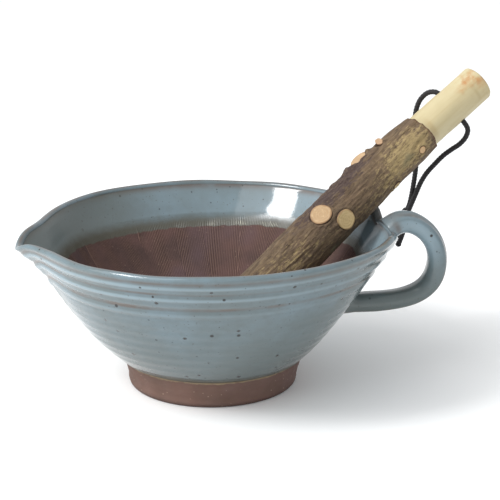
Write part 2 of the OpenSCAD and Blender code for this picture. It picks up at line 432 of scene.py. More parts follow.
def bowl_look():
    look = Look("stoneware_bowl", IOR=1.5)
    comb, clay = look.field("comb"), look.field("clay")
    ridge, edge = look.field("ridge"), look.field("edge")
    ragged = look.step(look.noise(300, detail=4.0), 0.2, 0.8, -0.35, 0.35)
    below = look.calc("ADD", clay, ragged)
    bare = look.step(below, -0.2, 0.35)
    colour = glaze_colour(look, ridge, edge)
    khaki = look.step(below, -5.5, -1.2, 0.0, 0.9)
    # painted shade: green-grey on the inside wall on the spout's side, and on the outside towards the
    # right
    greenish = look.calc("MULTIPLY", look.field("greenish"), 0.75)
    colour = look.mix(greenish, colour, GLAZE_MOSS)
    colour = look.mix(khaki, colour, GLAZE_OLIVE)
    # painted highlights: cream dashes on the combed lines at the glaze's edge, in one sector of the
    # back wall
    at_edge = look.calc("MULTIPLY", look.step(below, -2.9, -2.1), look.step(below, 0.2, -0.5))
    dashes = look.calc("MULTIPLY", look.step(comb, 0.25, 0.8), at_edge)
    colour = look.mix(look.calc("MULTIPLY", dashes, look.field("pooled")), colour, CREAM)
    colour = look.mix(bare, colour, clay_colour(look, comb, 0.2))
    look.relief((look.noise(18, detail=2.0), 0.0016, 0.35),
                (look.noise(900, detail=2.0), 0.00008, 0.12),
                (look.noise(700, detail=4.0), 0.0003, look.calc("MULTIPLY", bare, 0.8)))
    # roughness: glossy inside, dull where the glaze thins, satin outside and in the spout
    gloss = look.step(below, -5.0, -1.5, 0.075, 0.42)
    satin = look.calc("ADD", look.step(below, -40, -25, 0.12, 0.0),
                      look.calc("MULTIPLY", greenish, look.step(below, -20, -15, 0.0, 0.33)))
    matte = look.calc("ADD", satin, look.step(bare, 0, 1, 0.0, 0.5))
    return look.done(colour, look.calc("ADD", gloss, matte))


def handle_look():
    look = Look("stoneware_handle", IOR=1.5)
    # painted light and shade come in through the ridge mask, and painted shade darkens the lower
    # strap
    colour = glaze_colour(look, look.field("ridge"), look.field("edge"))
    colour = look.mix(look.field("greenish"), colour, GLAZE_MOSS)
    look.relief((look.noise(20, detail=2.0), 0.0016, 0.35),
                (look.noise(900, detail=2.0), 0.00008, 0.3))
    return look.done(colour, look.step(look.noise(60), 0.3, 0.7, 0.10, 0.18))


def foot_look():
    look = Look("bare_clay", IOR=1.45)
    colour = look.mix(0.30, clay_colour(look, look.field("comb"), 0.7), CLAY_PALE)
    # darker towards the bottom of the ring
    worn = look.step(look.field("wear"), 0.0, 1.0, 0.0, 0.7)
    colour = look.mix(worn, colour, CLAY_DARK)
    tan = look.calc("ADD", look.field("edge"), look.step(look.noise(240), 0.2, 0.8, -0.35, 0.35))
    colour = look.mix(look.step(tan, 0.4, 0.9), colour, HEM_TAN)
    look.relief((look.noise(320, detail=5.0), 0.0005, 0.6),
                (look.noise(1100, detail=2.0), 0.0002, 0.5))
    return look.done(colour, look.step(look.noise(120), 0.3, 0.7, 0.78, 0.95))


def wood_look():
    look = Look("peeled_wood", IOR=1.45)
    grain = look.noise(420, look.stem_place(0.06), detail=5.0, distort=0.6)
    broad = look.noise(70, look.stem_place(0.25), detail=3.0)
    colour = look.mix(look.step(broad, 0.35, 0.7), SAPWOOD, SAPWOOD_PALE)
    colour = look.mix(look.step(grain, 0.5, 0.78, 0.0, 0.45), colour, GRAIN)
    uneven = look.step(look.noise(150, detail=4.0), 0.4, 0.65)
    colour = look.mix(look.calc("MULTIPLY", look.field("stain"), uneven), colour, STAIN)
    colour = look.mix(look.field("inner_bark"), colour, INNER_BARK)
    colour = look.mix(look.calc("MULTIPLY", look.field("rings"), 0.5), colour, YEAR_RING)
    look.relief((grain, 0.0003, 0.5), (broad, 0.0006, 0.4))
    return look.done(colour, look.step(grain, 0.3, 0.7, 0.5, 0.7))


def bark_look():
    look = Look("bark", IOR=1.45)
    fibre = look.noise(1050, look.stem_place(0.20), detail=6.0, rough=0.68, distort=0.7)
    strips = look.noise(380, look.stem_place(0.24), detail=6.0, rough=0.68, distort=0.3)
    fine = look.noise(620, look.stem_place(0.45), detail=6.0, rough=0.70)
    blotch = look.noise(75, look.stem_place(0.6), detail=4.0)
    colour = look.mix(look.step(strips, 0.38, 0.64), BARK_DARK, BARK_BROWN)
    colour = look.mix(look.step(blotch, 0.45, 0.72, 0.0, 0.5), colour, BARK_BLOTCH)
    rubbed = look.calc("ADD", look.field("ochre"), look.step(fine, 0.25, 0.75, -0.6, 0.40))
    colour = look.mix(look.step(rubbed, 0.2, 0.8, 0.0, 0.9), colour, BARK_OCHRE)
    scaly = look.calc("ADD", look.field("scales"), look.step(fine, 0.3, 0.7, -0.5, 0.40))
    colour = look.mix(look.step(scaly, 0.3, 0.8, 0.0, 0.85), colour, BARK_SCALE)
    mossy = look.calc("ADD", look.field("moss"), look.step(blotch, 0.3, 0.7, -0.4, 0.3))
    colour = look.mix(look.step(mossy, 0.45, 0.9, 0.0, 0.6), colour, BARK_MOSS)
    colour = look.mix(look.step(look.field("ruddy"), 0.2, 1.0, 0.0, 0.7), colour, BARK_RUDDY)
    colour = look.mix(look.step(fibre, 0.54, 0.74, 0.0, 0.6), colour, BARK_FIBRE)
    colour = look.mix(look.step(fibre, 0.45, 0.30, 0.0, 0.7), colour, BARK_CRACK)
    pits = look.calc("MULTIPLY", look.specks(330, 0.05, 0.3, look.stem_place(0.6)), 0.5)
    colour = look.mix(pits, colour, BARK_PIT)
    colour = look.mix(look.step(look.field("hollow"), 0.2, 1.0, 0.0, 0.7), colour, BARK_HOLLOW)
    look.relief((strips, 0.0012, 0.7), (fibre, 0.0008, 0.9))
    return look.done(colour, look.step(fibre, 0.3, 0.7, 0.9, 0.66))


def end_grain_look(name, wood):
    look = Look("end_grain_" + name, IOR=1.45)
    rings = look.field("rings")
    wander = look.noise(230, detail=4.0)
    wave = look.calc("SINE", look.calc("ADD", look.calc("MULTIPLY", rings, 26.0),
                                       look.calc("MULTIPLY", wander, 9.0)))
    colour = look.mix(look.step(wave, -0.6, 1.0, 0.0, 0.2), wood, END_RING)
    pale = look.step(look.noise(480, detail=4.0), 0.5, 0.75, 0.0, 0.35)
    colour = look.mix(pale, colour, END_PALE)
    colour = look.mix(look.step(rings, 0.80, 0.99, 0.0, 0.7), colour, END_RIM)
    colour = look.mix(look.field("side"), colour, END_SIDE)
    look.relief((look.noise(900, detail=4.0), 0.0003, 0.5), (wave, 0.0001, 0.3))
    return look.done(colour, look.step(wander, 0.3, 0.7, 0.6, 0.8))


def cord_look():
    look = Look("black_cord", IOR=1.45, Sheen_Weight=0.12, Sheen_Roughness=0.5)
    fray = look.noise(2600, detail=3.0)
    colour = look.mix(look.step(fray, 0.4, 0.75), CORD_BLACK, CORD_FRAY)
    # painted shade in the gaps between the strands
    colour = look.mix(look.step(look.field("strand"), 0.0, 0.5, 0.6, 0.0), colour, CORD_GAP)
    look.relief((fray, 0.0002, 0.5))
    return look.done(colour, look.step(fray, 0.3, 0.7, 0.72, 0.9))


# ---- bowl ----

COARSE = 480                       # columns around the glazed wall
FINER = 4                          # times as many around the combed clay
OUTER_ROWS = 132
LIP_ROWS = 16
INNER_ROWS = 26
COMB_ROWS = 92
STROKES = 25                       # strokes of the comb around the bowl
STROKE_W = 22.5 * MM               # width of the comb
COMB_PITCH = 1.02 * MM
COMB_DEPTH = 0.26 * MM
GLAZE_LINE_T = 0.868               # height fraction of the glaze's edge inside
COMB_ABOVE = 0.05                  # how far the strokes run up under the glaze, as a fraction
COMB_LEAN_R = 83 * MM              # a slanting stroke crosses its own radius here
PLUG_GAP = 0.05 * MM               # between the clay inside the foot ring and the ring
NUB_TURN = 19                      # the lip is thicker beside the handle's seat
NUB_SWELL = 1.3 * MM

# Ridges and grooves under the rim: height fraction, half width, height in millimetres
RIDGES = (
    (0.974, 0.007, -0.25), (0.937, 0.017, 0.55), (0.881, 0.016, -0.55), (0.839, 0.019, 0.55),
    (0.751, 0.020, -0.75), (0.699, 0.024, 0.30), (0.664, 0.012, -0.22),
)


def lip_drop(turn):
    """How far the lip dips, at the spout and at the handle's seat."""
    from_spout, from_seat = wrap(turn - SPOUT_TURN), wrap(turn)
    spout = SPOUT_DROP * (0.74 * bump(from_spout, 5.7) + 0.26 * bump(from_spout, 46))
    return spout + SEAT_DROP * ease(from_seat, -20, -1) * (1 - ease(from_seat, 15, 20))


def wall_push(turn, t):
    """How far the wall is pulled out at the spout and pinched in beside it."""
    off = np.abs(wrap(turn - SPOUT_TURN))
    return SPOUT_PULL * bump(off, 12) * t ** 7 - SPOUT_PINCH * bump(off - 13, 30) * t ** 3


def wall_lean(turn):
    """How far the whole wall leans out towards the spout's side."""
    return WALL_LEAN * np.cos(np.radians(wrap(turn - SPOUT_TURN)) / 2) ** 4


def around(turn, r, z):
    """Points at those directions, radii and heights."""
    turn, r, z = np.broadcast_arrays(np.radians(turn), r, z)
    return np.stack((r * np.cos(turn), r * np.sin(turn), z), -1)


def outer_wall(turn, t):
    """Radius and height of the outside, at height fraction t."""
    r = FOOT_TOP_R + (RIM_R - FOOT_TOP_R) * t ** FLARE
    r = r + wall_lean(turn) * ease(t, 0, 0.3) + wall_push(turn, t)
    return r, FOOT_H + (WALL_TOP_Z - lip_drop(turn) - FOOT_H) * t


def inner_wall(turn, t):
    """Radius and height of the inside, where t is 0 in the middle of the floor and 1 at the lip."""
    r = INNER_RIM_R * t + wall_lean(turn) * ease(t, 0.3, 1) + wall_push(turn, t)
    return r, FLOOR_Z + (WALL_TOP_Z - lip_drop(turn) - FLOOR_Z) * t ** FLOOR_CURVE


def glaze_line(turn):
    """Height fraction at which the glaze stops inside the bowl."""
    radians = np.radians(turn)
    sway = 0.004 * np.sin(3 * radians + 1) + 0.003 * np.sin(7 * radians)
    return GLAZE_LINE_T - 0.018 * bump(wrap(turn - 120), 24) + sway


def spout_side(points):
    """1 in the bowl's left part, where the spout is and shade is painted on the inside, and 0 from
    its middle on.
    """
    return ease(-points[..., 0], 15 * MM, 75 * MM)


def comb_marks(x, y):
    """Height of the combed lines, about -1 to 1: strokes of a straight comb, each laid over the
    last, that run from the wall to the middle."""
    random = np.random.default_rng(11)
    marks = np.zeros_like(x)
    burr = np.zeros_like(x)
    for k in range(STROKES):
        turn = math.radians(360 * k / STROKES + random.uniform(-1.5, 1.5))
        slant = random.uniform(-0.06, 0.06)
        along = x * math.cos(turn) + y * math.sin(turn)
        across = y * math.cos(turn) - x * math.sin(turn) + slant * (along - COMB_LEAN_R)
        across = across + 0.4 * MM * np.sin(along / (11 * MM) + k)
        on = (np.abs(across) < STROKE_W / 2) & (along > random.uniform(0.004, 0.016))
        tooth = np.cos(2 * math.pi * across / COMB_PITCH + random.uniform(0, 6))
        tooth = tooth * (0.8 + 0.35 * np.sin(across / (2.3 * MM) + k))
        marks = np.where(on, tooth, marks)
        burr = np.where(on, bump(across - STROKE_W / 2, 0.6 * MM), burr)
    return marks + 0.9 * burr


def make_bowl():
    """The bowl's skin. Its fields say, at each point: clay, how far past the glaze's edge it is on to
    bare clay; ridge, whether the glaze is thick (above 0) or thin; edge, where it breaks to brown;
    painted shade, green-grey on the glaze, and painted highlights, on the combed lines at the glaze's
    edge; comb, the combed lines' height."""
    skin = Skin()
    turn = compass(COARSE)
    turn_fine = compass(COARSE * FINER)
    plain = {"comb": 0.0, "ridge": 0.0, "edge": 0.0}
    nub = bump(wrap(turn - NUB_TURN), 3.6)

    # the underside, and the plug of clay inside the foot ring
    under_r = np.array((3, 12, 22, 31, 37.0))[:, None] * MM
    under_z = FOOT_HOLLOW_H + 0.12 * MM * np.sin(under_r / MM * 1.1)
    under = skin.rings(around(turn, under_r, under_z), clay=20.0, **plain)
    skin.cap(under[0], COARSE)
    plug = [(FOOT_HOLLOW_R - PLUG_GAP, FOOT_HOLLOW_H), (FOOT_HOLLOW_R - PLUG_GAP, FOOT_H)]
    plug_r, plug_z = columns(plug)
    inside_foot = skin.rings(around(turn, plug_r, plug_z), clay=20.0, **plain)
    skin.bridge(under[-1], inside_foot[0], COARSE)

    # the glazed outside: a rolled lower edge, throwing lines, and ridges under the rim
    t = np.linspace(0, 1, OUTER_ROWS)[:, None]
    r, z = outer_wall(turn, t)
    ridge = sum(height * bump(t - at, width) for at, width, height in RIDGES)
    ridge = ridge * (0.9 + 0.22 * np.sin(np.radians(turn) * 2 + 0.6))
    lines = 0.10 * np.sin(2 * math.pi * (t * 13 + turn / 360)) * (1 - ease(t, 0.55, 0.66))
    lines = lines * ease(t, 0.03, 0.12)
    roll = 0.35 * bump(t - 0.018, 0.014) - 0.35 * bump(t, 0.006)
    flat = around(turn, r, z)
    soft = 0.35 * wobble(flat, 0.045, 3) * ease(t, 0, 0.3) * (1 - ease(t, 0.8, 1))
    spread = (ridge + lines + roll + soft) * MM
    hem = (t - 0.012 - 0.006 * wobble(flat, 0.016, 9)) / -0.013
    edge = 0.6 * bump(t, 0.03) + 0.85 * bump(t - 0.972, 0.013)
    # painted shade on the outside, stronger towards the right
    outside = skin.rings(around(turn, r + spread * 0.85, z - spread * 0.3), clay=hem - 0.6,
                         comb=0.0, ridge=ridge * 1.6 + 0.25 * lines, edge=edge,
                         greenish=0.35 * ease(flat[..., 0], 0, 70 * MM))
    skin.bridge(inside_foot[-1], outside[0], COARSE)

    # the rounded lip
    a = np.linspace(0, math.pi, LIP_ROWS)[1:-1, None]
    r, z = outer_wall(turn, np.ones((1, 1)))
    uneven = 0.22 * MM * wobble(around(turn, r, z), 0.03, 5) * np.sin(a)
    swollen = NUB_SWELL * nub * ease(a, 0.8, 2.4)
    lip = around(turn, r - LIP_R + LIP_R * np.cos(a) - swollen, z + LIP_R * np.sin(a) + uneven)
    lip = skin.rings(lip, clay=-20.0, comb=0.0, ridge=0.25 * np.cos(a),
                     edge=np.clip(bump(a - 1.75, 0.5) + nub, 0, 1))
    skin.bridge(outside[-1], lip[0], COARSE)

    # the glazed inside, down to where the comb's strokes begin
    stop = glaze_line(turn) + COMB_ABOVE
    k = np.linspace(0, 1, INNER_ROWS)[:, None]
    t = 1 + (stop - 1) * k
    r, z = inner_wall(turn, t)
    flat = around(turn, r, z)
    soft = 0.3 * MM * wobble(flat, 0.05, 4) * ease(k, 0, 0.3) * (1 - ease(k, 0.6, 1))
    fall = np.broadcast_to((glaze_line(turn) - t) * 100, t.shape)
    swollen = NUB_SWELL * nub * (1 - ease(k, 0, 0.4))
    # painted shade on the inside wall on the spout's side
    inside = skin.rings(around(turn, r - soft - swollen, z), clay=fall, comb=0.0, ridge=0.38,
                        edge=bump(1 - t, 0.012), greenish=spout_side(flat))
    skin.bridge(lip[-1], inside[0], COARSE)

    # the combed clay, down to the middle of the floor
    stop = glaze_line(turn_fine) + COMB_ABOVE
    k = np.linspace(0, 1, COMB_ROWS)[1:, None]
    t = stop * (1 - k) + 0.012 * k
    r, z = inner_wall(turn_fine, t)
    flat = around(turn_fine, r, z)
    marks = comb_marks(flat[..., 0], flat[..., 1])
    fade = ease(glaze_line(turn_fine) + COMB_ABOVE - t, 0.016, 0.052) * ease(t, 0.02, 0.12)
    fall = (glaze_line(turn_fine) - t) * 100
    lift = marks * fade * COMB_DEPTH
    slope = np.arctan2(np.gradient(z, axis=0), np.gradient(r, axis=0)) + math.pi
    # where highlights are painted on the combed lines: one sector of the back wall
    pooled = ease(turn_fine, 54, 60) * (1 - ease(turn_fine, 80, 84)) + bump(turn_fine - 90.7, 2)
    place = around(turn_fine, r - lift * np.abs(np.sin(slope)), z + lift * np.abs(np.cos(slope)))
    # painted shade on the spout's side, as on the wall above
    combed = skin.rings(place, clay=fall, comb=marks * fade, ridge=0.0, edge=0.0, pooled=pooled,
                        greenish=spout_side(flat))
    skin.bridge(inside[-1], combed[0], COARSE, FINER)
    skin.cap(combed[-1], COARSE * FINER, flip=True)
    piece = skin.finish("bowl_skin", bowl_look())
    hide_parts("bowl_body")
    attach(piece, "bowl")


def make_foot():
    sides, skin = 480, Skin()
    turn = compass(sides)
    edge_r = 1.7 * MM              # rounding of the ring's edges on the table
    corner = [(1 - math.cos(a), 1 - math.sin(a)) for a in quarter(7)]
    profile = [(FOOT_HOLLOW_R, FOOT_H), (FOOT_HOLLOW_R, 10 * MM), (FOOT_HOLLOW_R, 4 * MM)]
    profile += [(FOOT_HOLLOW_R + edge_r * x, edge_r * y) for x, y in corner]
    profile += [(FOOT_HOLLOW_R + k * MM, 0) for k in (3, 4.5)]
    profile += [(FOOT_BASE_R - edge_r * x, edge_r * y) for x, y in reversed(corner)]
    heights = np.linspace(edge_r, FOOT_H, 34)[1:]
    flare = (FOOT_TOP_R - FOOT_BASE_R) * (heights / FOOT_H) ** 1.4
    profile += list(zip(FOOT_BASE_R + flare, heights))
    profile += [(FOOT_TOP_R - 3 * MM, FOOT_H)]
    r, z = columns(profile)
    flat = around(turn, r, z)
    outer = r > FOOT_HOLLOW_R + 6 * MM
    on_side = ease(z, MM, 4 * MM) * outer * (1 - ease(z, FOOT_H - MM, FOOT_H))
    turned = 0.13 * np.sin(z / (0.82 * MM) + 0.02 * turn) + 0.12 * wobble(flat, 0.004, 21)
    turned = turned + 0.25 * wobble(flat, (0.03, 0.03, 0.006), 22)
    # the ring darkens towards its bottom
    starts = skin.rings(around(turn, r + turned * on_side * MM, z), comb=0.3 * turned,
                        wear=1 - ease(z, 0, 3.5 * MM), edge=bump(z - FOOT_H, 1.2 * MM) * outer)
    skin.bridge(starts[-1], starts[0], sides)
    piece = skin.finish("foot_skin", foot_look())
    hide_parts("foot_ring")
    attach(piece, "bowl")


# ---- handle ----

def make_handle():
    sides, skin = 56, Skin()
    route = smooth_route([(r * MM, 0, z * MM) for r, z in HANDLE_ROUTE], 1.0 * MM)
    count = len(route)
    ahead = unit(np.gradient(route, axis=0))
    level = np.array((0, 1, 0))
    out = unit(np.cross(level, ahead))          # thickness runs along it, width across it
    height = np.clip((route[:, 2] - FOOT_H) / (WALL_TOP_Z - FOOT_H), 0.01, 1)
    wall_r = outer_wall(np.full(count, HANDLE_TURN), height)[0]
    gap = np.clip((route[:, 0] - wall_r) / (9 * MM), 0, 1)
    k = np.arange(count) / (count - 1)
    lower = k > 0.5
    spread = 1 + np.where(lower, 0.55, 0.30) * (1 - gap) ** 2
    thicker = 1 + np.where(lower, 0.60, -0.05) * (1 - gap) ** 2
    a = angles(sides)
    soft = 0.88                                 # below 1 the section is squarer than an ellipse
    x = np.sign(np.cos(a)) * np.abs(np.cos(a)) ** soft
    y = np.sign(np.sin(a)) * np.abs(np.sin(a)) ** soft
    inner = (np.cos(a) < 0) * np.abs(np.cos(a))
    crease = 1.0 * MM * inner * bump(np.sin(a) + 0.45, 0.25) * ease(k, 0.02, 0.12)[:, None]
    outer = (np.cos(a) > 0) * bump(np.sin(a) - 0.15, 0.35)
    groove = 0.45 * MM * outer * ease(k, 0.05, 0.2)[:, None]
    thick = (HANDLE_T / 2 * thicker)[:, None] * x + crease - groove
    wide = (HANDLE_W / 2 * spread)[:, None] * y
    points = route[:, None] + thick[..., None] * out[:, None] + wide[..., None] * level
    points = points + 0.28 * MM * wobble(points, 0.014, 31)[..., None] * np.stack(
        (x[None] * out[:, :1], y[None] + 0 * out[:, :1], x[None] * out[:, 2:]), -1)
    x_to, y_to, _ = around(HANDLE_TURN, 1, 0)
    points = points @ np.array(((x_to, y_to, 0), (-y_to, x_to, 0), (0, 0, 1)))
    # painted light and shade: the top of the strap and its outer face painted paler, its inner face
    # and crease painted darker, the lower strap painted with shade
    pale = (0.7 + 0.3 * np.cos(a)) * (1 - ease(k, 0.15, 0.5))[:, None]
    pale = pale - 0.9 * ease(-np.cos(a), 0.2, 0.75) - 0.5 * crease / MM
    joint = 0.9 * bump((1 - gap) - 0.86, 0.16)[:, None] * (0.6 + 0.4 * np.sin(3 * a))
    starts = skin.rings(points, ridge=pale, edge=joint, greenish=0.5 * ease(k, 0.25, 0.5)[:, None])
    skin.close(starts, sides)
    piece = skin.finish("handle_skin", handle_look())
    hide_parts("handle")
    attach(piece, "bowl")


# ---- pestle ----

LOWER_DIR, UPPER_DIR = aim(*LOWER_AIM), aim(*UPPER_AIM)
SOFT_BEND = 30 * MM                # the branch turns over this length each way from its bend


def stem_line(height):
    """Middle of the stem, and its directions along, under and level across, at those heights."""
    height = np.asarray(height, float)[..., None]
    s = np.clip((height + SOFT_BEND) / (2 * SOFT_BEND), 0, 1)
    middle = -LOWER_DIR * SOFT_BEND * (1 - s) ** 2 + UPPER_DIR * SOFT_BEND * s ** 2
    middle = BEND_AT + middle + LOWER_DIR * np.minimum(height + SOFT_BEND, 0)
    middle = middle + UPPER_DIR * np.maximum(height - SOFT_BEND, 0)
    ahead = unit(LOWER_DIR * (1 - s) + UPPER_DIR * s)
    level = unit(np.cross((0, 0, 1), ahead))
    return middle, ahead, np.cross(level, ahead), level


def stem_points(height, turn, radius):
    """Points on the stem at those heights, directions around it in degrees, and radii."""
    middle, _, under, level = stem_line(height)
    turn = np.radians(turn)[..., None]
    return middle + np.asarray(radius)[..., None] * (np.cos(turn) * under + np.sin(turn) * level)


def outward(height, turn):
    """Middle of the stem at that height, the direction out of it at turn degrees, and along it."""
    middle, ahead, under, level = stem_line(height)
    turn = math.radians(turn)
    return middle, math.cos(turn) * under + math.sin(turn) * level, ahead


HOLE_MIDDLE, HOLE_DIR, _ = outward(HOLE_HEIGHT, HOLE_TURN)


def straightened(height, turn, radius):
    """Fields that hold the same point on a stem made straight, for grain that follows it."""
    height, turn, radius = np.broadcast_arrays(height, np.radians(turn), radius)
    return {"stem_x": radius * np.cos(turn), "stem_y": radius * np.sin(turn), "stem_z": height}


def bark_radius(height):
    at, radius = zip(*BARK_PROFILE)
    return np.interp(np.asarray(height) / MM, at, radius) * MM


def spot(height, turn, at, turn_at, long, wide):
    """1 at a place on the stem, falling off over long millimetres and wide degrees."""
    return bump((height / MM - at) / long, 1.0) * bump(wrap(turn - turn_at) / wide, 1.0)


def make_wood():
    sides, skin = 160, Skin()
    turn = compass(sides)
    tip = -LOWER_L
    rounded = [(tip + GRIND_R * (1 - math.cos(a)), GRIND_R * math.sin(a))
               for a in np.linspace(0.06, math.pi / 2, 18)]
    straight = np.arange(tip + GRIND_R + MM, UPPER_L - 2.2 * MM, 1.6 * MM)
    radii = np.interp(straight, (-17 * MM, 0, BARK_END, UPPER_L),
                      (GRIND_R, 11.3 * MM, WOOD_AT_BARK_R, GRIP_R))
    profile = rounded + list(zip(straight, radii))
    bevel = 1.3 * MM
    profile += [(UPPER_L - bevel * (1 - math.sin(a)), GRIP_R - bevel * (1 - math.cos(a)))
                for a in quarter(7)]
    profile += [(UPPER_L, GRIP_R * k) for k in (0.8, 0.65, 0.5, 0.35, 0.2, 0.08)]
    height, radius = columns(profile)
    place = stem_points(height, turn, radius + 0 * turn)
    lumps = 0.22 * MM * wobble(place, 0.018, 41) + 0.05 * MM * wobble(place, 0.004, 42)
    lumps = lumps * ease(radius, 0.3 * GRIP_R, GRIP_R) * ease(height, tip, tip + 10 * MM)
    faceted = 0.10 * MM * np.cos(np.radians(turn) * 7 + height / (20 * MM)) * (height > BARK_END)
    on_end = height > UPPER_L - 0.2 * MM
    stain = spot(height, turn, 66, -150, 9, 34) + 0.6 * spot(height, turn, 73, -120, 4, 40)
    crack = spot(height, turn, 66, -95, 0.5, 26)
    edge = BARK_END + 2.2 * MM
    inner_bark = 0.6 * bump(height - edge, 1.8 * MM) * (0.5 + 0.5 * np.sin(np.radians(turn) * 3 + 1))
    starts = skin.rings(stem_points(height, turn, radius + lumps + faceted * ~on_end),
                        stain=np.clip(stain, 0, 1), inner_bark=np.clip(inner_bark + crack, 0, 1),
                        rings=on_end * (0.5 + 0.5 * np.sin(radius / (0.35 * MM))),
                        **straightened(height, turn, radius))
    skin.close(starts, sides)
    piece = skin.finish("stem_wood", wood_look())
    drill_hole(piece)
    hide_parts("pestle_core")
    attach(piece, "pestle")


def drill_hole(piece):
    """Cuts the cord's hole right through the peeled end."""
    drill, sides = Skin(), 40
    a = angles(sides)
    reach = np.array((-18, -6, 6, 18))[:, None] * MM
    ring = np.stack(np.broadcast_arrays(HOLE_D / 2 * np.cos(a), HOLE_D / 2 * np.sin(a), reach), -1)
    turned = np.array(Vector(HOLE_DIR).to_track_quat("Z", "Y").to_matrix())
    starts = drill.rings(ring @ turned.T + HOLE_MIDDLE, stem_x=0.0, stem_y=0.0, stem_z=0.0)
    drill.close(starts, sides)
    tool = drill.finish("drill")
    cut = piece.modifiers.new("hole", "BOOLEAN")
    cut.operation, cut.object, cut.solver = "DIFFERENCE", tool, "EXACT"
    bpy.context.view_layer.update()
    graph = bpy.context.evaluated_depsgraph_get()
    drilled = bpy.data.meshes.new_from_object(piece.evaluated_get(graph))
    piece.modifiers.clear()
    piece.data = drilled
    bpy.data.objects.remove(tool)


BARK_NOISE_R = 12.8 * MM           # the bark's noise lies round a straight stem of this radius
# Knobs of bark at the long stub's two ends: height on the stem, direction, and how far they stand out
KNOBS = ((-17.5, 150, 1.4), (-1.2, 152, 1.1))


def make_bark():
    sides, skin = 300, Skin()
    turn = compass(sides)
    height = np.arange(BARE_END, BARK_END + 0.2 * MM, 0.6 * MM)[:, None]
    flat = stem_points(height, turn, bark_radius(height) + 0 * turn)
    circle = np.stack((np.cos(np.radians(turn)), np.sin(np.radians(turn))), -1)
    wrapped = np.stack(np.broadcast_arrays(height, *(BARK_NOISE_R * circle.T)), -1)
    lumps = 0.42 * wobble(flat, 0.022, 51)
    strips = 0.26 * (1 - 2 * np.abs(wobble(wrapped, (0.020, 0.0030, 0.0030), 52)))
    fibres = 0.15 * wobble(wrapped, (0.011, 0.0013, 0.0013), 53)
    scales = spot(height, turn, -45, 178, 26, 36) + spot(height, turn, -20, 165, 16, 34)
    scales = np.clip(scales, 0, 1)
    flakes = scales * (0.18 * np.sign(wobble(wrapped, (0.0045, 0.003, 0.003), 54))
                       + 0.35 * wobble(wrapped, (0.0035, 0.0022, 0.0022), 55))
    relief = lumps + np.clip(strips, -0.5, 0.3) + fibres + flakes
    hollow = np.zeros_like(relief)
    for at, stub_turn, across, along, _, _ in STUBS.values():
        side = np.radians(wrap(turn - stub_turn)) * bark_radius(at * MM) / MM
        away = np.hypot(side / across, (height / MM - at) / along)
        rim = (away - 1) * min(across, along)
        collar = 0.55 if across > 3 else 0.8
        relief = relief + collar * bump(rim - 1.0, 0.9) - 1.1 * ease(rim, 0.1, -0.6)
        hollow = np.maximum(hollow, bump(rim + 0.1, 0.45))
    for at, knob_turn, reach in KNOBS:
        relief = relief + reach * spot(height, turn, at, knob_turn, 2.2, 13)
    ragged = 0.9 * MM * wobble(circle, 0.5, 56)
    oblique = 1.5 * MM * np.cos(np.radians(turn + 20))
    bottom_edge = BARE_END + np.abs(ragged)
    top_edge = BARK_END - 0.7 * np.abs(ragged) + oblique * 0.5
    share = (height - BARE_END) / (BARK_END - BARE_END)
    placed = bottom_edge + share * (top_edge - bottom_edge)
    to_end = np.minimum(top_edge - placed, placed - bottom_edge)
    thick = ease(to_end, -0.4 * MM, 1.0 * MM)
    wood = bark_radius(placed) - BARK_T
    outer = wood + (BARK_T + relief * MM) * thick + 0.12 * MM
    ochre = spot(placed, turn, 12, -108, 24, 50) + 0.4 * spot(placed, turn, -24, -75, 22, 26)
    ochre = ochre + 0.45 * spot(placed, turn, -88, -120, 34, 60)
    fields = {"ochre": np.clip(ochre, 0, 1), "scales": scales, "hollow": np.clip(hollow, 0, 1),
              "moss": spot(placed, turn, 9, -100, 8, 22) + spot(placed, turn, -58, -60, 8, 24),
              "ruddy": bump(top_edge - placed, 1.6 * MM)}
    outside = skin.rings(stem_points(placed, turn, outer), **fields,
                         **straightened(placed, turn, outer))
    back = placed[::-12]
    lining = skin.rings(stem_points(back, turn, bark_radius(back) - BARK_T - 0.5 * MM),
                        ochre=0.0, scales=0.0, hollow=1.0, moss=0.0, ruddy=0.0,
                        **straightened(back, turn, bark_radius(back) - BARK_T))
    skin.bridge(outside[-1], lining[0], sides)
    skin.bridge(lining[-1], outside[0], sides)
    piece = skin.finish("stem_bark", bark_look())
    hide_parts("bark_sleeve")
    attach(piece, "pestle")


STUB_WOOD = {
    "twig_stub_large_a": (0.43, 0.290, 0.160), "twig_stub_large_b": (0.53, 0.395, 0.195),
    "twig_stub_long": (0.42, 0.285, 0.165), "twig_stub_round": (0.40, 0.260, 0.155),
    "twig_stub_upper": (0.56, 0.370, 0.200), "twig_stub_lower": (0.36, 0.275, 0.125),
}


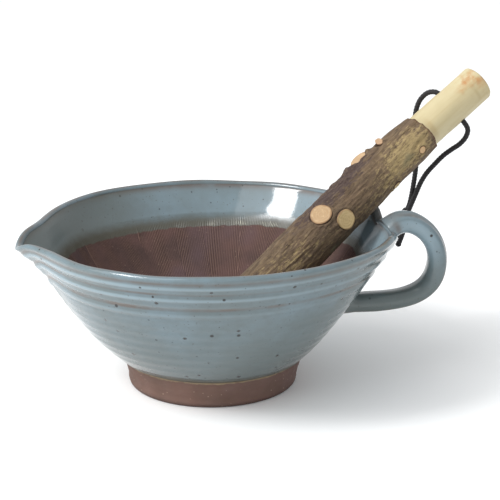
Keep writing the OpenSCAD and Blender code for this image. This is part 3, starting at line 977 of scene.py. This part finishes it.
def make_stub(name, seed):
    """A sawn-off twig: a nearly flat cut face with a soft edge, and its side down in the bark."""
    at, stub_turn, across, along, reach, slope = STUBS[name]
    sides, skin = 72, Skin()
    a = angles(sides)
    around_edge = np.stack((np.cos(a), np.sin(a)), -1)
    uneven = 1 + 0.035 * wobble(around_edge, 0.9, seed)
    middle, out, ahead = outward(at * MM, stub_turn)
    sideways = np.cross(out, ahead)
    # share of the outline, and depth under the cut face in millimetres
    shape = [(1.02, 3.2), (1.02, 1.2), (1.0, 0.35), (0.965, 0.08), (0.92, 0), (0.8, 0),
             (0.65, 0.02), (0.5, 0.04), (0.35, 0.06), (0.2, 0.07), (0.07, 0.08)]
    size, depth = columns(shape)
    wide = size * uneven * across * np.sin(a)
    long = size * uneven * along * np.cos(a)
    saw = 0.05 * np.sin((wide * 0.6 + long) / 0.35) * (depth < 0.1)
    tilt = 0.03 * long + math.tan(math.radians(slope)) * wide
    lift = reach - depth + saw + tilt
    offset = lift[..., None] * out + wide[..., None] * sideways + long[..., None] * ahead
    points = middle + MM * offset
    starts = skin.rings(points, rings=size * (1 + 0.04 * np.sin(5 * a)), side=(depth > 0.3) * 1.0)
    skin.close(starts, sides)
    piece = skin.finish(name + "_face", end_grain_look(name, STUB_WOOD[name]))
    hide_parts(name)
    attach(piece, "pestle")


# ---- cord ----

def in_hole(k):
    """A point on the hole's axis, k millimetres from the stem's middle, in millimetres."""
    return tuple(HOLE_MIDDLE / MM + k * HOLE_DIR)


# The cord's route in millimetres: up one tail, through the knot and round behind the stem,
# through the hole, down the other strand, and back through the knot to the other tail.
CORD_ROUTE = [
    (110.5, 70.5, 59), (112, 70, 64), (113.1, 69.4, 70), (114.4, 68.7, 75), (116.2, 68.2, 80.5),
    (117.3, 67.4, 87), (118.3, 66.8, 95), (119, 66.3, 103), (119.2, 66.2, 112),
    (118.2, 66.2, 122), (117.5, 66, 130), (118, 65.5, 136.5), (119.6, 64.8, 141.8),
    (122.2, 63.6, 145.6), (125.2, 62, 147.6), in_hole(11), in_hole(5.5), in_hole(0),
    in_hole(-5.5), in_hole(-11), (146.2, 54.4, 127.4), (145.3, 55.2, 122.6),
    (142.2, 56.4, 118.4), (138, 57.9, 115), (133.5, 59.5, 111), (129.1, 61, 105.8),
    (124.8, 62.6, 100.1), (121.6, 63.7, 94), (119, 64.4, 87), (116.6, 64.9, 80.5),
    (114.8, 65.4, 75), (113.8, 66.2, 70), (112.3, 67, 62), (109.8, 68.2, 54.5),
]
CORD_LAY = 5.5 * MM                # length of one full twist
KNOT_CORD_R = 1.35 * MM            # the cord is drawn tight in the knot
KNOT_SIZE = 1.15 * MM


def rope(name, route, radius, material, closed=False):
    """A laid cord along a route: three strands that twist round each other."""
    sides, skin = 24, Skin()
    steps = np.linalg.norm(np.diff(route, axis=0), axis=1)
    far = np.concatenate(((0,), np.cumsum(steps)))
    ahead = unit(np.gradient(route, axis=0))
    if closed:
        ahead = unit(np.roll(route, -1, axis=0) - np.roll(route, 1, axis=0))
    side = [unit(np.cross(ahead[0], (0.3, 0.9, 0.31)))]
    for direction in ahead[1:]:
        side.append(unit(side[-1] - side[-1].dot(direction) * direction))
    side = np.array(side)
    other = np.cross(ahead, side)
    a = angles(sides)
    phase = a - 2 * math.pi * far[:, None] / CORD_LAY
    strand = np.abs(np.cos(1.5 * phase))
    r = radius * (0.86 + 0.16 * strand)
    if not closed:
        end = np.minimum(far, far[-1] - far)[:, None]
        swollen = 1 + 0.16 * bump(end - 1.2 * MM, 1.5 * MM)
        r = r * swollen * (0.35 + 0.65 * ease(end, -0.4 * MM, 0.9 * MM))
    points = route[:, None] + r[..., None] * (np.cos(a)[None, :, None] * side[:, None]
                                              + np.sin(a)[None, :, None] * other[:, None])
    starts = skin.rings(points, strand=strand)
    if closed:
        skin.bridge(starts[-1], starts[0], sides)
    else:
        skin.close(starts, sides)
    return skin.finish(name, material)


def make_cord():
    route = smooth_route(np.array(CORD_ROUTE) * MM, 0.45 * MM)
    material = cord_look()
    cord = rope("cord_loop", route, CORD_D / 2, material)
    t = np.linspace(0, 2 * math.pi, 150, endpoint=False)
    trefoil = np.stack((np.sin(t) + 2 * np.sin(2 * t), -1.1 * np.sin(3 * t),
                        2 * np.cos(2 * t) - np.cos(t)), -1)
    knot_route = KNOT_AT + (0, 0, MM) + trefoil * KNOT_SIZE
    knot = rope("cord_knot_wrap", knot_route, KNOT_CORD_R, material, closed=True)
    for piece, node in ((cord, "hanging_cord"), (knot, "cord_knot")):
        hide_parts(node)
        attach(piece, "cord")


make_cord()
make_bowl()
make_foot()
make_handle()
make_wood()
make_bark()
for number, stub in enumerate(STUBS):
    make_stub(stub, 61 + number)


# ---- stage and light ----

def make_floor():
    look = Look("floor")
    tone = look.step(look.noise(3, detail=2.0), 0.3, 0.7)
    colour = look.mix(tone, (0.95, 0.95, 0.945), (0.935, 0.937, 0.935))
    material = look.done(colour, 0.75)
    mesh = bpy.data.meshes.new("floor")
    size = 12
    corners = [(-size, -size, 0), (size, -size, 0), (size, size, 0), (-size, size, 0)]
    mesh.from_pydata(corners, [], [(0, 1, 2, 3)])
    mesh.materials.append(material)
    floor = bpy.data.objects.new("floor", mesh)
    bpy.context.scene.collection.objects.link(floor)


def add_lamp(name, at, toward, width, tall, watts):
    """A rectangular lamp that faces a point."""
    data = bpy.data.lights.new(name, "AREA")
    data.shape = "RECTANGLE"
    data.size, data.size_y, data.energy = width, tall, watts
    lamp = bpy.data.objects.new(name, data)
    bpy.context.scene.collection.objects.link(lamp)
    lamp.location = at
    lamp.rotation_euler = (Vector(toward) - Vector(at)).to_track_quat("-Z", "Y").to_euler()


def add_sun(name, coming_from, strength, angle):
    """Soft daylight that falls evenly everywhere."""
    data = bpy.data.lights.new(name, "SUN")
    data.energy, data.angle = strength, math.radians(angle)
    lamp = bpy.data.objects.new(name, data)
    bpy.context.scene.collection.objects.link(lamp)
    lamp.rotation_euler = Vector(coming_from).to_track_quat("Z", "Y").to_euler()


def make_light():
    add_lamp("window", at=(-0.835, -0.40, 0.98), toward=(0.03, 0.04, 0.07), width=0.34, tall=0.46,
             watts=11)
    add_sun("daylight", coming_from=(-0.75, -0.35, 0.75), strength=1.4, angle=60)
    world = bpy.data.worlds.new("studio")
    world.use_nodes = True
    sky = world.node_tree.nodes["Background"]
    sky.inputs["Color"].default_value = (0.96, 0.98, 1.0, 1)
    sky.inputs["Strength"].default_value = 0.80
    bpy.context.scene.world = world
    bpy.context.scene.view_settings.view_transform = "Standard"


make_floor()
make_light()
